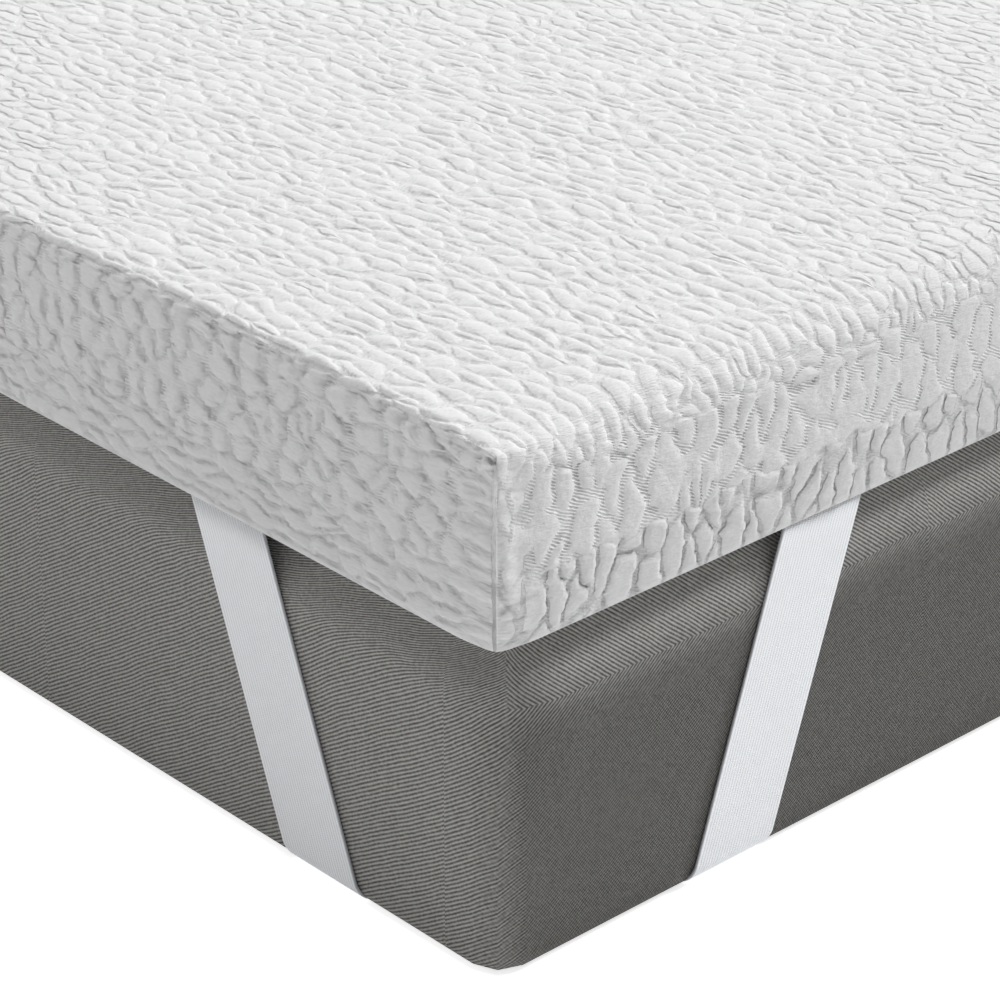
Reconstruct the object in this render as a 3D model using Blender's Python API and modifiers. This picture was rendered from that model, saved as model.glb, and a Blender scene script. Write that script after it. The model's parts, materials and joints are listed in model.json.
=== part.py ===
"""A quilted mattress topper on a plain mattress, held by an elastic strap at each corner.

Blender 4.5, metres, +Z up. The origin is on the surface, under the middle of the mattress. X runs
across the bed and Y along it. The mattress lies on the surface, the topper lies on the mattress,
and each strap leaves the topper's lower edge, slants down one side of a corner, passes under the
mattress and comes up the other side.
"""

import math
import random

import bmesh
import bpy
from mathutils import Vector

# ---- driving dimensions -------------------------------------------------------------------------

GAP = 0.0003  # between pieces that touch

MATTRESS_WIDTH = 0.990
MATTRESS_LENGTH = 1.905
MATTRESS_HEIGHT = 0.133
MATTRESS_TOP_RADIUS = 0.025
MATTRESS_BOTTOM_RADIUS = 0.006
UPPER_CORNER_RADIUS = 0.032  # of an upright corner, seen from above, at its top
LOWER_CORNER_RADIUS = 0.014  # and at its foot
CORNER_POINTS = 7  # of each rounded corner, seen from above
ROUND_STEPS = 6  # of the rounded upper edge

TOPPER_OVERHANG = 0.003  # from the sides of the mattress to the sides of the topper
TOPPER_THICKNESS = 0.076
TOPPER_CROWN = 0.003  # how far the middle stands above the rim
TOPPER_CORNER_RADIUS = 0.017  # seen from above, at the lower edge
TOPPER_EDGE_HEIGHT = 0.013  # how far down the side the rounded upper edge reaches
TOPPER_EDGE_AT_SIDES = 0.015  # how far inwards it reaches, along the sides
TOPPER_EDGE_AT_ENDS = 0.008  # and along the head and the foot
SHOULDER_ANGLE = math.radians(40)  # of the ring in the middle of that edge
TOPPER_HEM = 0.0015  # height of the turned lower edge
TOPPER_BELLY = 0.002  # how far the middle of a side stands out
SEAM_DEPTH = 0.004  # how far the vertical seam draws each corner in

QUILT_COLUMNS = 26  # stations across the topper, and along it
QUILT_ROWS = 110
QUILT_RELIEF = 0.003  # from a groove to the top of a cell
LOWEST_CELL = 0.7  # the least share of that relief
QUILT_UNEVENNESS = 0.35  # share of a station's spacing that its point may wander
PLAIN_RIM = 0.044  # a point of the panel this near the sides stays in line
END_CUTS = 2  # more points for each station along the head and the foot
SEED = 7
TINY = 1e-6  # lengths below this count as none

STRAP_WIDTH = 0.038
STRAP_THICKNESS = 0.0016
STRAP_CLEARANCE = 0.0004  # from the strap to the side of the mattress
STRAP_BEND_RADIUS = 0.007  # round the mattress's lower edge
STRAP_BEND_STEPS = 6
STRAP_TURN_RADIUS = 0.090  # of the turn under the corner
STRAP_TURN_STEPS = 10
BED_CLEARANCE = 0.0003  # between a strap and its bed in the underside
BED_TOP = 0.030  # the cutter of that bed ends at this height

# Distance from the corner to the strap's centre line, on each of the two faces that it crosses:
# where it leaves the topper, and where it reaches the lower edge.
STRAP_PLACES = {
    #        at_topper  at_base
    "end": (0.1442, 0.0945),
    "side": (0.1599, 0.1172),
}

CORNERS = [  # the sign of X and of Y
    (1, -1),
    (1, 1),
    (-1, 1),
    (-1, -1),
]


# ---- helpers ------------------------------------------------------------------------------------


def clear_scene():
    for obj in list(bpy.data.objects):
        bpy.data.objects.remove(obj, do_unlink=True)


def new_collection(name):
    collection = bpy.data.collections.new(name)
    bpy.context.scene.collection.children.link(collection)
    return collection


def new_material(name, colour, roughness):
    material = bpy.data.materials.new(name)
    material.use_nodes = True
    shader = material.node_tree.nodes["Principled BSDF"]
    shader.inputs["Base Color"].default_value = (*colour, 1.0)
    shader.inputs["Roughness"].default_value = roughness
    shader.inputs["Metallic"].default_value = 0.0
    return material


def add_object(name, bm, collection, material=None):
    """Turns a bmesh into an object of the collection, shaded smooth."""
    mesh = bpy.data.meshes.new(name)
    bm.to_mesh(mesh)
    bm.free()
    mesh.shade_smooth()
    obj = bpy.data.objects.new(name, mesh)
    collection.objects.link(obj)
    if material:
        mesh.materials.append(material)
    return obj


def thicken(obj, thickness):
    modifier = obj.modifiers.new("Thickness", "SOLIDIFY")
    modifier.thickness = thickness
    modifier.offset = 0.0
    modifier.use_even_offset = True


def open_edges(edges):
    return [edge for edge in edges if edge.is_boundary]


def fold_down(bm, rim, home):
    """Extrudes the rim by one ring. The new points take the homes of those above them."""
    above = {vert for edge in rim for vert in edge.verts}
    made = bmesh.ops.extrude_edge_only(bm, edges=rim)["geom"]
    fresh = [item for item in made if isinstance(item, bmesh.types.BMVert)]
    for vert in fresh:
        others = [edge.other_vert(vert) for edge in vert.link_edges]
        home[vert] = next(home[other] for other in others if other in above)
    return open_edges(item for item in made if isinstance(item, bmesh.types.BMEdge)), fresh


def close_base(bm, rim):
    bmesh.ops.edgeloop_fill(bm, edges=rim)
    bmesh.ops.recalc_face_normals(bm, faces=bm.faces)


# ---- the mattress -------------------------------------------------------------------------------


def corner_and_ray(number):
    """The signs of a point's corner, and the direction in which it lies from that corner's centre."""
    corner, step = divmod(number, CORNER_POINTS)
    start = math.pi / 2 * corner
    middle = start + math.pi / 4
    angle = start + math.pi / 2 * step / (CORNER_POINTS - 1)
    signs = Vector((math.copysign(1, math.cos(middle)), math.copysign(1, math.sin(middle))))
    return signs, Vector((math.cos(angle), math.sin(angle)))


def mattress_sections():
    """From the top down: the height, how far inwards, and the radius of the upright corner."""
    sections = []
    for step in range(ROUND_STEPS + 1):
        angle = math.pi / 2 * step / ROUND_STEPS
        drop = MATTRESS_TOP_RADIUS * (1 - math.cos(angle))
        inset = MATTRESS_TOP_RADIUS * (1 - math.sin(angle))
        sections.append((MATTRESS_HEIGHT - drop, inset, UPPER_CORNER_RADIUS))
    for step in range(ROUND_STEPS // 2 + 1):
        angle = math.pi / 2 * step / (ROUND_STEPS // 2)
        height = MATTRESS_BOTTOM_RADIUS * (1 - math.sin(angle))
        inset = MATTRESS_BOTTOM_RADIUS * (1 - math.cos(angle))
        sections.append((height, inset, LOWER_CORNER_RADIUS))
    return sections


def build_mattress(collection, material):
    """The top as one flat face, its rim folded down over the rounded edge and the sides."""
    bm = bmesh.new()
    bmesh.ops.create_circle(bm, cap_ends=True, segments=4 * CORNER_POINTS, radius=1.0)
    home = {vert: corner_and_ray(number) for number, vert in enumerate(bm.verts)}
    rim, ring = open_edges(bm.edges), list(bm.verts)
    for number, (height, inset, corner_radius) in enumerate(mattress_sections()):
        if number:
            rim, ring = fold_down(bm, rim, home)
        for vert in ring:
            signs, ray = home[vert]
            x = signs.x * (MATTRESS_WIDTH / 2 - corner_radius) + ray.x * (corner_radius - inset)
            y = signs.y * (MATTRESS_LENGTH / 2 - corner_radius) + ray.y * (corner_radius - inset)
            vert.co = (x, y, height)
    close_base(bm, rim)
    return add_object("mattress", bm, collection, material)


# ---- the topper ---------------------------------------------------------------------------------


def stations(half, count, corner):
    """Places from -half to half, with one at the start and one at the middle of each corner."""
    inner = half - corner
    even = [inner * (2 * i / (count - 4) - 1) for i in range(count - 3)]
    return [-half, -half + corner / 2, *even, half - corner / 2, half]


def outline_point(x, y, half, corner, inset):
    """Where a point of the plain rectangle's rim lies on the rounded outline, drawn in by inset.

    It also gives the direction that points outwards there.
    """
    centre_x = max(corner - half.x, min(half.x - corner, x))
    centre_y = max(corner - half.y, min(half.y - corner, y))
    outwards = Vector((x - centre_x, y - centre_y)).normalized()
    place_x = centre_x + outwards.x * (corner - inset.x)
    place_y = centre_y + outwards.y * (corner - inset.y)
    return Vector((place_x, place_y)), outwards


def rim_distance(point, half):
    """How far along the rectangle's rim a point of it lies, counted from one corner."""
    if point.y <= -half.y + TINY:
        return point.x + half.x
    if point.x >= half.x - TINY:
        return 2 * half.x + point.y + half.y
    if point.y >= half.y - TINY:
        return 3 * half.x + 2 * half.y - point.x
    return 4 * half.x + 3 * half.y - point.y


def side_rings():
    """The side from the top down: height, share of the edge's inward reach, belly and relief."""
    shoulder = TOPPER_THICKNESS - TOPPER_EDGE_HEIGHT * (1 - math.cos(SHOULDER_ANGLE))
    edge_foot = TOPPER_THICKNESS - TOPPER_EDGE_HEIGHT
    return [
        # height, reach, belly, relief
        (shoulder, 1 - math.sin(SHOULDER_ANGLE), 0.0, 0.6),
        (edge_foot, 0.0, 0.6, 1.0),
        (edge_foot * 0.68, 0.0, 1.0, 1.0),
        (edge_foot * 0.34, 0.0, 0.8, 1.0),
        (TOPPER_HEM, 0.0, 0.1, 0.0),
        (0.0, 0.1, 0.0, 0.0),
    ]


def quilted_panel(half, reach, base):
    """The top as a grid whose points take turns to be the top of a cell and the foot of a groove.

    It returns the bmesh, and each point's home: its place on the plain rectangle.
    """
    across = stations(half.x, QUILT_COLUMNS, TOPPER_CORNER_RADIUS)
    along = stations(half.y, QUILT_ROWS, TOPPER_CORNER_RADIUS)
    step = Vector((2 * half.x / len(across), 2 * half.y / len(along)))
    bm = bmesh.new()
    bmesh.ops.create_grid(bm, x_segments=len(across) - 1, y_segments=len(along) - 1, size=1.0)
    home = {}
    for vert in bm.verts:
        column = round((vert.co.x + 1) / 2 * (len(across) - 1))
        row = round((vert.co.y + 1) / 2 * (len(along) - 1))
        home[vert] = Vector((across[column], along[row]))
        x = home[vert].x * (1 - reach.x / half.x)
        y = home[vert].y * (1 - reach.y / half.y)
        crown = TOPPER_CROWN * math.sqrt(max(0.0, (1 - (x / half.x) ** 2) * (1 - (y / half.y) ** 2)))
        turn = 1 if (column + row) % 2 else -1
        if min(half.x - abs(x), half.y - abs(y)) > PLAIN_RIM:
            x += random.uniform(-0.5, 0.5) * QUILT_UNEVENNESS * step.x
            y += random.uniform(-0.5, 0.5) * QUILT_UNEVENNESS * step.y
        lift = turn * QUILT_RELIEF / 2 * random.uniform(LOWEST_CELL, 1.0)
        vert.co = (x, y, base + TOPPER_THICKNESS + crown + lift)
    return bm, home


def add_end_points(bm, home, half):
    """Splits the rim's edges along the head and the foot, whose cells stand upright."""
    for edge in open_edges(bm.edges):
        first, last = edge.verts
        start, stop = home[first], home[last]
        at_end = abs(abs(start.y) - half.y) < TINY and abs(start.y - stop.y) < TINY
        if not at_end or (start - stop).length < TOPPER_CORNER_RADIUS:
            continue
        for cut in range(END_CUTS):
            between = next(edge for edge in first.link_edges if last in edge.verts)
            _, added = bmesh.utils.edge_split(between, first, 1 / (END_CUTS + 1 - cut))
            home[added] = start.lerp(stop, (cut + 1) / (END_CUTS + 1))
            first = added


def crease_panel(bm):
    """Splits each four-sided face of the panel along its lower diagonal, so that grooves run on."""
    for face in list(bm.faces):
        if len(face.verts) != 4 or face.normal.z < 0.9:
            continue
        a, b, c, d = face.verts
        lower = (a, c) if a.co.z + c.co.z < b.co.z + d.co.z else (b, d)
        bmesh.utils.face_split(face, *lower)


def build_topper(collection, material):
    """The quilted top, its rim folded down in rings to make the sides, and a flat base."""
    random.seed(SEED)
    half = Vector((MATTRESS_WIDTH / 2 + TOPPER_OVERHANG, MATTRESS_LENGTH / 2 + TOPPER_OVERHANG))
    reach = Vector((TOPPER_EDGE_AT_SIDES, TOPPER_EDGE_AT_ENDS))
    base = MATTRESS_HEIGHT + GAP
    bm, home = quilted_panel(half, reach, base)
    add_end_points(bm, home, half)
    rim = open_edges(bm.edges)
    for vert in {vert for edge in rim for vert in edge.verts}:
        place, _ = outline_point(*home[vert], half, TOPPER_CORNER_RADIUS, reach)
        vert.co = (place.x, place.y, base + TOPPER_THICKNESS)
    for ring, (height, share, belly, relief) in enumerate(side_rings()):
        rim, fresh = fold_down(bm, rim, home)
        fresh.sort(key=lambda vert: rim_distance(home[vert], half))
        for number, vert in enumerate(fresh):
            place, outwards = outline_point(*home[vert], half, TOPPER_CORNER_RADIUS, reach * share)
            out = belly * TOPPER_BELLY
            if min(abs(outwards.x), abs(outwards.y)) < TINY:
                turn = 1 if (number + ring) % 2 else -1
                out += turn * relief * QUILT_RELIEF / 2 * random.uniform(LOWEST_CELL, 1.0)
            elif abs(abs(outwards.x) - abs(outwards.y)) < TINY:
                out -= relief * SEAM_DEPTH
            place += outwards * out
            vert.co = (place.x, place.y, base + height)
    close_base(bm, rim)
    crease_panel(bm)
    return add_object("topper", bm, collection, material)


# ---- the straps ---------------------------------------------------------------------------------


def strap_profile(top):
    """The strap's way up a side, as (inwards, height, distance) of the middle of its thickness."""
    middle = STRAP_CLEARANCE + STRAP_THICKNESS / 2
    points = []
    for step in range(STRAP_BEND_STEPS + 1):
        angle = math.pi / 2 * step / STRAP_BEND_STEPS
        inwards = STRAP_BEND_RADIUS * (1 - math.sin(angle)) - middle
        height = STRAP_BEND_RADIUS * (1 - math.cos(angle)) + STRAP_THICKNESS / 2
        points.append((inwards, height))
    points.append((-middle, top))
    distance = 0.0
    profile = [(*points[0], distance)]
    for first, second in zip(points, points[1:]):
        distance += math.dist(first, second)
        profile.append((*second, distance))
    return profile


def strap_slope(face):
    at_topper, at_base = STRAP_PLACES[face]
    return (at_topper - at_base) / MATTRESS_HEIGHT


def face_rows(face, profile, half_width):
    """Rows across the strap on one face: its two places along the edge, inwards, and the height."""
    slope = strap_slope(face)
    spread = half_width * math.sqrt(1 + slope * slope)
    bend_end = profile[STRAP_BEND_STEPS][2]
    rows = []
    for inwards, height, distance in profile:
        centre = STRAP_PLACES[face][1] + slope * (distance - bend_end)
        rows.append((centre - spread, centre + spread, inwards, height))
    return rows


def turn_under_corner(half_width):
    """The strap's turn under the corner, as pairs of points on its inner and its outer edge.

    p runs from the corner along the head or the foot, and q from the corner along the side. The
    strap comes in under the end face, turns towards the corner, and leaves under the side face.
    """
    end_way = Vector((-strap_slope("end"), 1.0)).normalized()
    side_way = Vector((-1.0, strap_slope("side"))).normalized()
    end_start = Vector((STRAP_PLACES["end"][1], 0.0))
    side_start = Vector((0.0, STRAP_PLACES["side"][1]))
    # The two centre lines meet at end_start + reach * end_way.
    between = side_start - end_start
    reach = between.cross(side_way) / end_way.cross(side_way)
    meeting = end_start + end_way * reach
    turn = end_way.angle(side_way)
    to_centre = Vector((-end_way.y, end_way.x))
    before = STRAP_TURN_RADIUS * math.tan(turn / 2)
    centre = meeting - end_way * before + to_centre * STRAP_TURN_RADIUS
    start = math.atan2(-to_centre.y, -to_centre.x)
    pairs = []
    for step in range(STRAP_TURN_STEPS + 1):
        angle = start + turn * step / STRAP_TURN_STEPS
        ray = Vector((math.cos(angle), math.sin(angle)))
        inner = centre + ray * (STRAP_TURN_RADIUS - half_width)
        outer = centre + ray * (STRAP_TURN_RADIUS + half_width)
        pairs.append((inner, outer))
    return pairs


def strap_rows(half_width, top):
    """Pairs of points (p, q, height) along the strap's middle surface, from end to end."""
    profile = strap_profile(top)
    end_rows = face_rows("end", profile, half_width)
    side_rows = face_rows("side", profile, half_width)
    floor = STRAP_THICKNESS / 2
    rows = [((near, inwards, height), (far, inwards, height)) for near, far, inwards, height in end_rows]
    rows.reverse()
    rows += [((*inner, floor), (*outer, floor)) for inner, outer in turn_under_corner(half_width)]
    rows += [((inwards, near, height), (inwards, far, height)) for near, far, inwards, height in side_rows]
    return rows


def strap_ribbon(signs, width, top):
    """The strap's middle surface at one corner of the mattress, as one open strip of faces."""
    bm = bmesh.new()
    last = None
    for row in strap_rows(width / 2, top):
        verts = []
        for p, q, height in row:
            x = signs[0] * (MATTRESS_WIDTH / 2 - p)
            y = signs[1] * (MATTRESS_LENGTH / 2 - q)
            verts.append(bm.verts.new((x, y, height)))
        if last:
            bm.faces.new((last[0], last[1], verts[1], verts[0]))
        last = verts
    bmesh.ops.recalc_face_normals(bm, faces=bm.faces)
    return bm


def build_strap(name, signs, collection, material):
    """The strap ends against the underside of the topper's overhang."""
    bm = strap_ribbon(signs, STRAP_WIDTH, MATTRESS_HEIGHT)
    strap = add_object(name, bm, collection, material)
    thicken(strap, STRAP_THICKNESS)


def press_bed(name, signs, mattress, cutters):
    """Cuts the bed of one strap into the mattress's underside and round its lower edge."""
    bm = strap_ribbon(signs, STRAP_WIDTH + 2 * BED_CLEARANCE, BED_TOP)
    cutter = add_object(name, bm, cutters)
    thicken(cutter, STRAP_THICKNESS + 2 * BED_CLEARANCE)
    cutter.hide_render = True
    cutter.display_type = "WIRE"
    cut = mattress.modifiers.new(name, "BOOLEAN")
    cut.operation = "DIFFERENCE"
    cut.solver = "EXACT"
    cut.object = cutter


# ---- the whole ----------------------------------------------------------------------------------


def main():
    clear_scene()
    parts = new_collection("Mattress topper")
    cutters = new_collection("Cutters")
    cover = new_material("White quilted knit", (0.78, 0.78, 0.78), 0.9)
    elastic = new_material("White ribbed elastic", (0.72, 0.73, 0.76), 0.7)
    ticking = new_material("Grey twill", (0.13, 0.125, 0.12), 0.85)
    mattress = build_mattress(parts, ticking)
    build_topper(parts, cover)
    for number, signs in enumerate(CORNERS):
        build_strap(f"strap_{number}", signs, parts, elastic)
        press_bed(f"strap_bed_{number}", signs, mattress, cutters)


main()
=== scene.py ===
# %% [markdown]
# # A quilted topper on its mattress
#
# A mattress topper is a slab of soft foam in a knitted cover. The cover is quilted all over in
# small raised cells, and an elastic strap at each corner passes under the mattress to hold it.
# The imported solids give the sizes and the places. Here each soft piece is modelled again as
# cloth and foam, a little at a time, and gets its finish.

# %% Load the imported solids
import json
import math

import bmesh
import bpy
import numpy as np
from mathutils import Matrix, Vector

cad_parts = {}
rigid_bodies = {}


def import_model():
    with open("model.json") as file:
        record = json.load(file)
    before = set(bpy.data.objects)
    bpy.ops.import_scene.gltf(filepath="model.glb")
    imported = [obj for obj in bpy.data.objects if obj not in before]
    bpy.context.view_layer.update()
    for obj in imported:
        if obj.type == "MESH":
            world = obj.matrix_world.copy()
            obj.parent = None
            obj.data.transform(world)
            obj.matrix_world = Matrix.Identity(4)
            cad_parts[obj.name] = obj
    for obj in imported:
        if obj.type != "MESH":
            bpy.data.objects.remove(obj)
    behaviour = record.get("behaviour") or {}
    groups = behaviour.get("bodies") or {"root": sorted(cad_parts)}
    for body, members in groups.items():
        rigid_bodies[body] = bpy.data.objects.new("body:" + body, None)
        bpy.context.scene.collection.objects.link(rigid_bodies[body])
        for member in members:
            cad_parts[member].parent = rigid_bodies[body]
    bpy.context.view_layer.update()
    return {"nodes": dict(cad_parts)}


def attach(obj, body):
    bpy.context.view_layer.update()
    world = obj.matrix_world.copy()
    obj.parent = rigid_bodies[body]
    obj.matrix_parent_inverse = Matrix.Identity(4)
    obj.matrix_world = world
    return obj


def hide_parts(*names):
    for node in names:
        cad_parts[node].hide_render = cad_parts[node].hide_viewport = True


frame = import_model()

print("nodes:", sorted(frame["nodes"]))

# %% [markdown]
# ## Sizes
#
# The mattress and the topper share one plan, a twin bed. The topper stands out 3 mm past the
# mattress on every side, and its underside lies a hair above it. These numbers repeat those of
# the solids, so that each new piece fills the space of the one that it replaces.

# %% The bed's sizes, in metres
MATTRESS_HALF = np.array((0.495, 0.9525))
MATTRESS_HEIGHT = 0.133
TOPPER_HALF = MATTRESS_HALF + 0.003
TOPPER_BASE = MATTRESS_HEIGHT + 0.0003
TOPPER_THICKNESS = 0.076
TOPPER_TOP = TOPPER_BASE + TOPPER_THICKNESS
TINY = 1e-7
print("topper:", 2 * TOPPER_HALF, "by", TOPPER_THICKNESS, "thick")

# %% [markdown]
# ## From a sharp box to a soft form
#
# Both big pieces start as a plain box: a grid for the top, its rim drawn down in rings for the
# sides. A box is easy to refine and easy to measure on, because a point of a side still knows
# its place along the rim and how far down it lies. A short rule then bends the box into the
# soft form: the corners turn round, the upper edge rolls over and the sides fill out. A
# subdivision surface could round a box too, but not by a stated radius.

# %% The box
def draw_down(bm, depths):
    """Extrudes the open rim down, with one more ring of the sides at each depth."""
    rim = [edge for edge in bm.edges if edge.is_boundary]
    for depth in depths:
        made = bmesh.ops.extrude_edge_only(bm, edges=rim)["geom"]
        for item in made:
            if isinstance(item, bmesh.types.BMVert):
                item.co.z = -depth
        rim = [item for item in made if isinstance(item, bmesh.types.BMEdge) and item.is_boundary]


def drawn_box(half, spacing, depths):
    """A box that is open below: the top at height 0, and the sides down to the last depth."""
    bm = bmesh.new()
    columns, rows = (round(2 * side / step) for side, step in zip(half, spacing))
    bmesh.ops.create_grid(bm, x_segments=columns, y_segments=rows, size=1.0)
    for vert in bm.verts:
        vert.co = (vert.co.x * half[0], vert.co.y * half[1], 0.0)
    draw_down(bm, depths)
    return bm


def close_underside(bm):
    rim = [edge for edge in bm.edges if edge.is_boundary]
    bmesh.ops.edgeloop_fill(bm, edges=rim)
    bmesh.ops.recalc_face_normals(bm, faces=bm.faces)


# %% The rule that softens it
KEEN_REACH = 0.028  # how far from a corner the upper edge is tighter


def smooth_step(value, start, stop):
    share = np.clip((value - start) / (stop - start), 0.0, 1.0)
    return share * share * (3 - 2 * share)


def hill(value, middle, width):
    """1 at the middle, and falling off smoothly to both sides."""
    return np.exp(-(((value - middle) / width) ** 2))


def blend_by_side(outward, at_sides, at_ends):
    """A value that is one thing along the sides and another along the head and the foot."""
    return at_sides * outward[:, 0] ** 2 + at_ends * outward[:, 1] ** 2


def from_corners(home, half):
    """Each point's distance along the rim from the nearest corner."""
    return (half - np.abs(home[:, :2])).max(axis=1)


def soft_form(home, half, top, corner, reach, drop, keen=0.0):
    """Bends the box's points to the soft form.

    corner is the radius of the upright corners at each point, seen from above. reach and drop
    are how far the rounded upper edge goes inwards and down, along the sides and along the
    ends. keen is the share by which that edge tightens at the corners. It returns the places
    and the direction that points outwards at each.
    """
    flat, down = home[:, :2], -home[:, 2]
    size, sign = np.abs(flat), np.where(flat < 0, -1.0, 1.0)
    past = np.maximum(size - (half - corner[:, None]), 0.0)
    most = past.max(axis=1)
    outward = past / np.maximum(np.linalg.norm(past, axis=1), TINY)[:, None]
    plan = np.minimum(size, half - corner[:, None]) + outward * most[:, None]
    tight = 1 - keen * hill(from_corners(home, half), 0.0, KEEN_REACH)
    inwards = blend_by_side(outward, *reach) * tight + TINY
    downwards = blend_by_side(outward, *drop) * tight + TINY
    along = np.where(down > 0, down, np.where(most > 0, most - corner, -1.0))
    share = np.where(along < 0, 1 + along / inwards, 1 + along / downwards)
    angle = math.pi / 4 * np.clip(share, 0.0, 2.0)
    on_top = np.where(along < 0, np.maximum(along, -inwards), 0.0)
    shift = inwards * (np.sin(angle) - 1) - on_top
    fall = downwards * (1 - np.cos(angle)) + np.maximum(along - downwards, 0.0)
    place = np.empty_like(home)
    place[:, :2] = sign * (plan + outward * shift[:, None])
    place[:, 2] = top - fall
    return place, outward * sign


def points_of(mesh):
    values = np.empty(len(mesh.vertices) * 3)
    mesh.vertices.foreach_get("co", values)
    return values.reshape(-1, 3)


def store(mesh, name, values, kind="FLOAT"):
    """Keeps a value for each point, for the relief and the finish to read."""
    attribute = mesh.attributes.new(name, kind, "POINT")
    field = "value" if kind == "FLOAT" else "vector"
    attribute.data.foreach_set(field, np.ascontiguousarray(values, dtype=np.float32).ravel())


def mesh_object(name, bm):
    mesh = bpy.data.meshes.new(name)
    bm.to_mesh(mesh)
    bm.free()
    mesh.shade_smooth()
    obj = bpy.data.objects.new(name, mesh)
    bpy.context.scene.collection.objects.link(obj)
    return obj


# %% [markdown]
# ## The topper's slab
#
# The cloth is modelled finest at one corner, out to where a close look reaches, and coarser
# over the rest of the bed. A face is split in four wherever the cloth needs more points, and
# three times over nearest that corner. The other corners are split twice, to be as neat.

# %% Where the mesh is fine
FINE_CORNER = np.array((TOPPER_HALF[0], -TOPPER_HALF[1]))
FINE_LENGTH = 0.465  # along the diagonal, from that corner
FINE_HALF_WIDTH = 0.175  # across it, at the corner
FINE_SPREAD = 0.115  # wider by this share further in
FINE_OFFSET = 0.018


def beyond_fine(flat):
    """How far a place lies outside the fine part: below 0 inside it."""
    away = (flat - FINE_CORNER) @ np.array((-1.0, 1.0)) / math.sqrt(2)
    across = (flat - FINE_CORNER) @ np.array((1.0, 1.0)) / math.sqrt(2)
    width = FINE_HALF_WIDTH + FINE_SPREAD * away
    return np.maximum(away - FINE_LENGTH, np.abs(across + FINE_OFFSET) - width)


def split_faces(bm, limit, from_corner):
    """Splits in four each face of the box within limit of the fine part or near a corner."""
    faces = list(bm.faces)
    centres = np.array([face.calc_center_median()[:2] for face in faces])
    near = (beyond_fine(centres) < limit) | (from_corners(centres, TOPPER_HALF) < from_corner)
    edges = dict.fromkeys(edge for face, split in zip(faces, near) if split for edge in face.edges)
    bmesh.ops.subdivide_edges(bm, edges=list(edges), cuts=1, use_grid_fill=True)


# %% The slab
SLAB_SPACING = (0.0175, 0.0120)
SLAB_DEPTHS = [0.0055, 0.0115, 0.0180, 0.0255, 0.0335, 0.0415, 0.0495, 0.0575, 0.0655, 0.0735]
SPLIT_LIMITS = [(0.045, 0.045), (0.020, 0.034), (0.004, 0.0)]  # past the fine part, from a corner

bm = drawn_box(TOPPER_HALF, SLAB_SPACING, SLAB_DEPTHS)
for limits in SPLIT_LIMITS:
    split_faces(bm, *limits)
print("faces of the slab's box:", len(bm.faces))

# %% The hem and the underside
HEM_DEPTHS = [0.0752, TOPPER_THICKNESS]
draw_down(bm, HEM_DEPTHS)
close_underside(bm)
topper = mesh_object("topper_cover", bm)

# %% [markdown]
# The slab's box is bent to its form. Three small moves make it foam: the middle of the top
# stands a little proud, the middle of each side too, and the seam down each corner pulls the
# cloth in. The end panels are sewn on in a shallow groove below the top's rim, and the hem is
# tucked under.

# %% The slab's form
UPRIGHT_CORNER = (0.0012, 0.015)  # at the very corner, and where the edge has its full reach
FOOT_ROUNDER = 0.009  # how much more the corner is rounded at the foot
EDGE_REACH = (0.0170, 0.0065)  # at the sides, at the ends
EDGE_DROP = (0.021, 0.007)
EDGE_KEEN = 0.74
CROWN = 0.003
BELLY = 0.0015
SEAM_FADE = 0.012  # how far down a seam reaches its full strength
SEAM_DRAW = 0.0010
SEAM_DRAWN_AT = (0.009, 0.006)  # this far from the seam, over this width
SEAM_RIDGE = 0.0001
SEAM_RIDGE_WIDTH = 0.0016
PANEL_GROOVE = 0.0007
PANEL_GROOVE_AT = (0.0035, 0.0014)  # this far down, over this width
HEM_TUCK = 0.0009
HEM_START = 0.0745

home = points_of(topper.data)
down = -home[:, 2]
from_corner = from_corners(home, TOPPER_HALF)
least = UPRIGHT_CORNER[0] + FOOT_ROUNDER * down / TOPPER_THICKNESS
corner = np.clip(from_corner, least, UPRIGHT_CORNER[1])
place, outward = soft_form(home, TOPPER_HALF, TOPPER_TOP, corner, EDGE_REACH, EDGE_DROP, EDGE_KEEN)
at_rim = TOPPER_HALF - np.abs(home[:, :2]) < 10 * TINY
on_side = at_rim[:, 0] & (down > 0)
on_end = at_rim[:, 1] & (down > 0) & ~on_side
share = 1 - (home[:, :2] / TOPPER_HALF) ** 2
crown = CROWN * np.sqrt(np.maximum(share[:, 0] * share[:, 1], 0.0))
place[:, 2] += np.where(down > 0, 0.0, crown)
lower_side = np.clip((down - EDGE_DROP[0]) / (TOPPER_THICKNESS - EDGE_DROP[0]), 0.0, 1.0)
upright = smooth_step(down, 0.0, SEAM_FADE)
move = BELLY * np.sin(math.pi * lower_side)
move -= SEAM_DRAW * hill(from_corner, *SEAM_DRAWN_AT) * upright
move += SEAM_RIDGE * hill(from_corner, 0.0, SEAM_RIDGE_WIDTH) * upright
move -= PANEL_GROOVE * on_end * hill(down, *PANEL_GROOVE_AT)
move -= HEM_TUCK * smooth_step(down, HEM_START, TOPPER_THICKNESS)
place[:, :2] += outward * (move * (down > 0))[:, None]
topper.data.vertices.foreach_set("co", place.ravel())

# %% The corner seams stay crisp
SEAM_TOP = 0.004
in_seam = at_rim.all(axis=1) & (down > SEAM_TOP)
edge_ends = np.empty(2 * len(topper.data.edges), dtype=np.int32)
topper.data.edges.foreach_get("vertices", edge_ends)
sharp = in_seam[edge_ends].reshape(-1, 2).all(axis=1)
topper.data.attributes.new("sharp_edge", "BOOLEAN", "EDGE").data.foreach_set("value", sharp)
print("edges in the corner seams:", int(sharp.sum()))

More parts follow.
